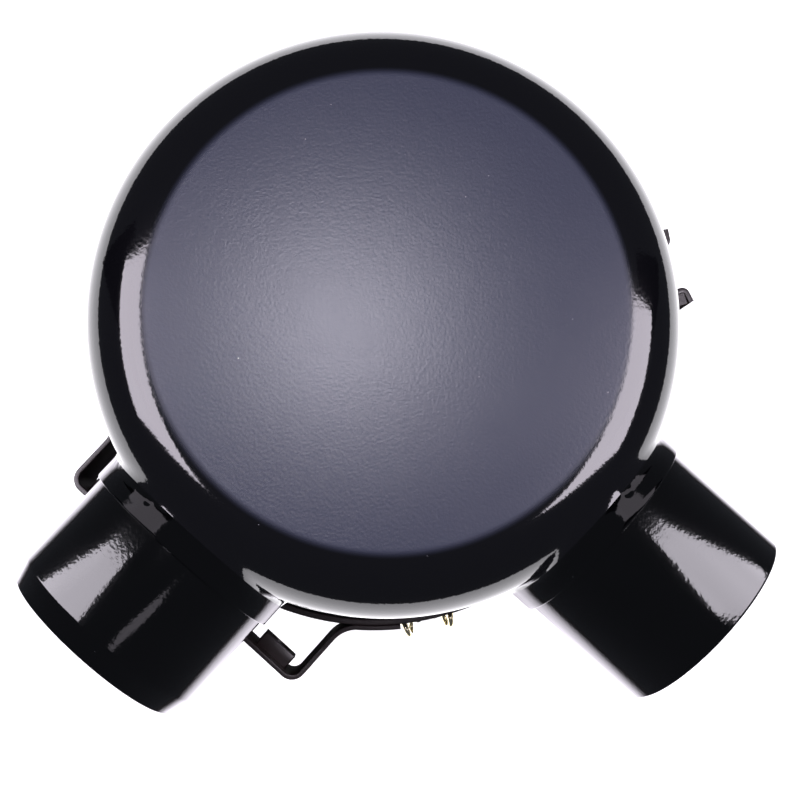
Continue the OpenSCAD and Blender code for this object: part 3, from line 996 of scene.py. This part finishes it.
def latch_spring(k):
    """Bent spring wire whose two coils don't open equally."""
    half = coil_side(6.1 * MM, 9.3 * MM)
    other = [Vector((p.x, -p.y, p.z)) for p in reversed(coil_side(5.1 * MM, 9.3 * MM)[1:])]
    nose = HINGE_U - 3.7 * MM
    loop = [Vector((nose, 0.02 * MM, NOSE_Z))] + other + half + [Vector((nose, 0.04 * MM, NOSE_Z))]
    bm = tube_along(loop, WIRE_R)
    bm.transform(latch_place(k))
    wire = [f"latch_wire_{k}"]
    return finish_mesh(f"latch_spring_{k}", bm, f"latch_{k}", WIRE, wire, sharp=60)


# ---- stage ---------------------------------------------------------------


def softbox(name, azimuth, elevation, distance, width, height, radiance, color):
    """Area light towards the closed end, placed by the direction it shines from."""
    target = Vector((0, 0, TOP))
    a, e = math.radians(azimuth), math.radians(elevation)
    out = Vector((math.cos(a) * math.cos(e), math.sin(a) * math.cos(e), math.sin(e)))
    light = bpy.data.lights.new(name, "AREA")
    light.shape = "RECTANGLE"
    light.size = width
    light.size_y = height
    light.color = color
    light.energy = radiance * math.pi * width * height
    obj = bpy.data.objects.new(name, light)
    bpy.context.scene.collection.objects.link(obj)
    obj.location = target + out * distance
    obj.rotation_mode = "QUATERNION"
    obj.rotation_quaternion = (-out).to_track_quat("-Z", "Y")
    return obj


def stage_mesh(name, bm, material):
    mesh = bpy.data.meshes.new(name)
    bm.to_mesh(mesh)
    bm.free()
    obj = bpy.data.objects.new(name, mesh)
    bpy.context.scene.collection.objects.link(obj)
    obj.data.materials.append(material)
    return obj


def disc(radius, z):
    bm = bmesh.new()
    bmesh.ops.create_circle(bm, cap_ends=True, segments=96, radius=radius)
    bmesh.ops.translate(bm, verts=bm.verts, vec=(0, 0, z))
    return bm


def only_mirrored(obj):
    """A card that shows only as a reflection."""
    obj.visible_camera = False
    obj.visible_diffuse = False
    obj.visible_shadow = False
    obj.visible_transmission = False
    return obj


def link(light, pieces, state):
    """Limits a light or card to some pieces (INCLUDE), or to all but them (EXCLUDE)."""
    group = bpy.data.collections.new(light.name + "_link")
    for piece in pieces:
        group.objects.link(piece)
    for item in group.collection_objects:
        item.light_linking.link_state = state
    light.light_linking.receiver_collection = group


def glow(name, strength, ring=None):
    """Emitting card stock. A ring is the radii where the glow starts, is full, starts to fade and ends."""
    n = Nodes(name)
    color = (0.95, 0.9, 1.0)
    level = n.spread(n.noise(3, 1), 0.3, 0.7, 0.95 * strength, 1.05 * strength)
    if ring:
        r = n.from_axis()
        rise = n.spread(r, ring[0], ring[1], 0.3, 1, True)
        fall = n.spread(r, ring[2], ring[3], 1, 0.02, True)
        level = n.math("MULTIPLY", level, n.math("MULTIPLY", rise, fall))
    tint = n.mix(n.spread(n.noise(2, 1), 0.3, 0.7, 0, 1), color, tuple(0.98 * c for c in color))
    return n.set(Base_Color=(0.0, 0.0, 0.0), Roughness=1.0, Emission_Color=tint, Emission_Strength=level)


def card(name, corners, strength):
    """Flat panel through four corners, seen only in reflections."""
    bm = bmesh.new()
    bm.faces.new([bm.verts.new(corner) for corner in corners])
    return only_mirrored(stage_mesh(name, bm, glow(name, strength)))


def paper_light(radius, radiance, color):
    """Round light just above the floor, facing up, that stands for bright paper in the can's reflections."""
    light = bpy.data.lights.new("paper_light", "AREA")
    light.shape = "DISK"
    light.size = 2 * radius
    light.color = color
    light.energy = radiance * math.pi * math.pi * radius**2
    obj = bpy.data.objects.new("paper_light", light)
    bpy.context.scene.collection.objects.link(obj)
    obj.location = (0, 0, 0.002)
    obj.rotation_euler = (math.pi, 0, 0)
    return only_mirrored(obj)


LEFT_CARD = [(-0.36, -0.12, 0.79), (-0.26, -0.3, 0.83), (-0.72, -0.3, 0.02), (-0.6, -0.12, 0.57)]
RIGHT_CARD = [(0.17, 0.24, 0.84), (0.38, 0.04, 0.86), (0.38, 0.72, 0.25), (0.17, 0.44, 0.72)]


def studio(pipes, collars, over_paper):
    """Paper floor, pale backdrop, two side softboxes, a top light and the tubes' own panels.

    Softboxes aren't solid, so they don't hide the panels behind them in a reflection, as panels would.
    """
    lavender = (0.95, 0.88, 1.0)
    link(softbox("left_softbox", 218, 52, 0.55, 0.3, 0.32, 11.5, lavender), [*pipes, collars], "EXCLUDE")
    link(softbox("right_softbox", 38, 50, 0.55, 0.27, 0.32, 11.5, lavender), [*pipes, collars], "EXCLUDE")
    link(softbox("left_collar_light", 203, 36, 0.5, 0.16, 0.45, 1.2, lavender), [collars], "INCLUDE")
    link(softbox("right_collar_light", 52, 45, 0.5, 0.16, 0.45, 1.2, lavender), [collars], "INCLUDE")
    softbox("top_softbox", 134, 80, 0.9, 0.16, 0.16, 21, (0.93, 0.9, 1.0))
    left = card("left_card", LEFT_CARD, 10)
    right = card("right_card", RIGHT_CARD, 10)
    for item in (left, right):
        link(item, pipes, "INCLUDE")
    link(softbox("streak_light", 324, 63.5, 0.72, 0.15, 0.09, 1.3, lavender), pipes[:1], "INCLUDE")
    link(paper_light(1.2, 3.0, (0.97, 0.95, 1.0)), over_paper, "INCLUDE")
    narrow = (0.1, 0.17, 0.2, 0.29)
    table = only_mirrored(stage_mesh("table_glow", disc(0.32, 0), glow("table_glow", 3.2, ring=narrow)))
    link(table, [*pipes, collars], "INCLUDE")
    n = Nodes("floor_paper")
    white = n.mix(n.spread(n.noise(6, 2), 0.3, 0.7, 0, 1), (0.83, 0.83, 0.84), (0.86, 0.86, 0.87))
    stock = n.set(Base_Color=white, Roughness=0.9, Emission_Color=(1.0, 1.0, 1.0), Emission_Strength=0.85)
    floor = stage_mesh("floor", disc(6.0, cad_box[0].z - 0.0002), stock)
    floor.visible_glossy = False
    bm = bmesh.new()
    bmesh.ops.create_icosphere(bm, subdivisions=4, radius=5.9)
    dome = stage_mesh("backdrop", bm, glow("backdrop", 0.9))
    for kind in ("glossy", "diffuse", "shadow", "transmission"):
        setattr(dome, "visible_" + kind, False)
    world = bpy.data.worlds.new("studio")
    bpy.context.scene.world = world
    world.use_nodes = True
    world.node_tree.nodes["Background"].inputs["Color"].default_value = (0.8, 0.85, 1.0, 1)
    world.node_tree.nodes["Background"].inputs["Strength"].default_value = 0.1


def camera():
    """Looks down on the closed end from above the inlet side."""
    data = bpy.data.cameras.new("camera")
    data.lens = 53.72
    data.sensor_width = 36
    data.shift_x = -0.0065
    data.shift_y = 0.0154
    obj = bpy.data.objects.new("camera", data)
    bpy.context.scene.collection.objects.link(obj)
    right = Vector((0.7415, 0.6679, 0.0646)).normalized()
    back = Vector((0.0251, -0.1238, 0.9920)).normalized()
    up = back.cross(right).normalized()
    right = up.cross(back)
    turn = Matrix((right, up, back)).transposed().to_4x4()
    obj.matrix_world = Matrix.Translation((0.029, -0.0559, TOP + 0.3056)) @ turn
    bpy.context.scene.camera = obj


def dress_cad_nodes():
    """Gives each CAD node the material of its slot. Nodes that a piece replaces aren't shown."""
    slots = {s["node"]: s["material_slot"] for s in frame["record"]["subparts"]}
    for name, obj in frame["nodes"].items():
        obj.data.materials.clear()
        obj.data.materials.append(MATERIALS[slots[name]])


camera()
dress_cad_nodes()
upper, collars = can_upper()
over_paper = [upper, can_skirt(), dust_bowl()]
rim_gasket()
clamp_strap()
liner_strip()
clamp_hardware()
bracket_strap()
square_nuts()
for number in (1, 2, 3):
    latch_mount(number)
    over_paper.append(latch_spring(number))
studio([inlet_pipe(), outlet_pipe()], collars, over_paper)

bpy.context.scene.view_settings.view_transform = "Standard"
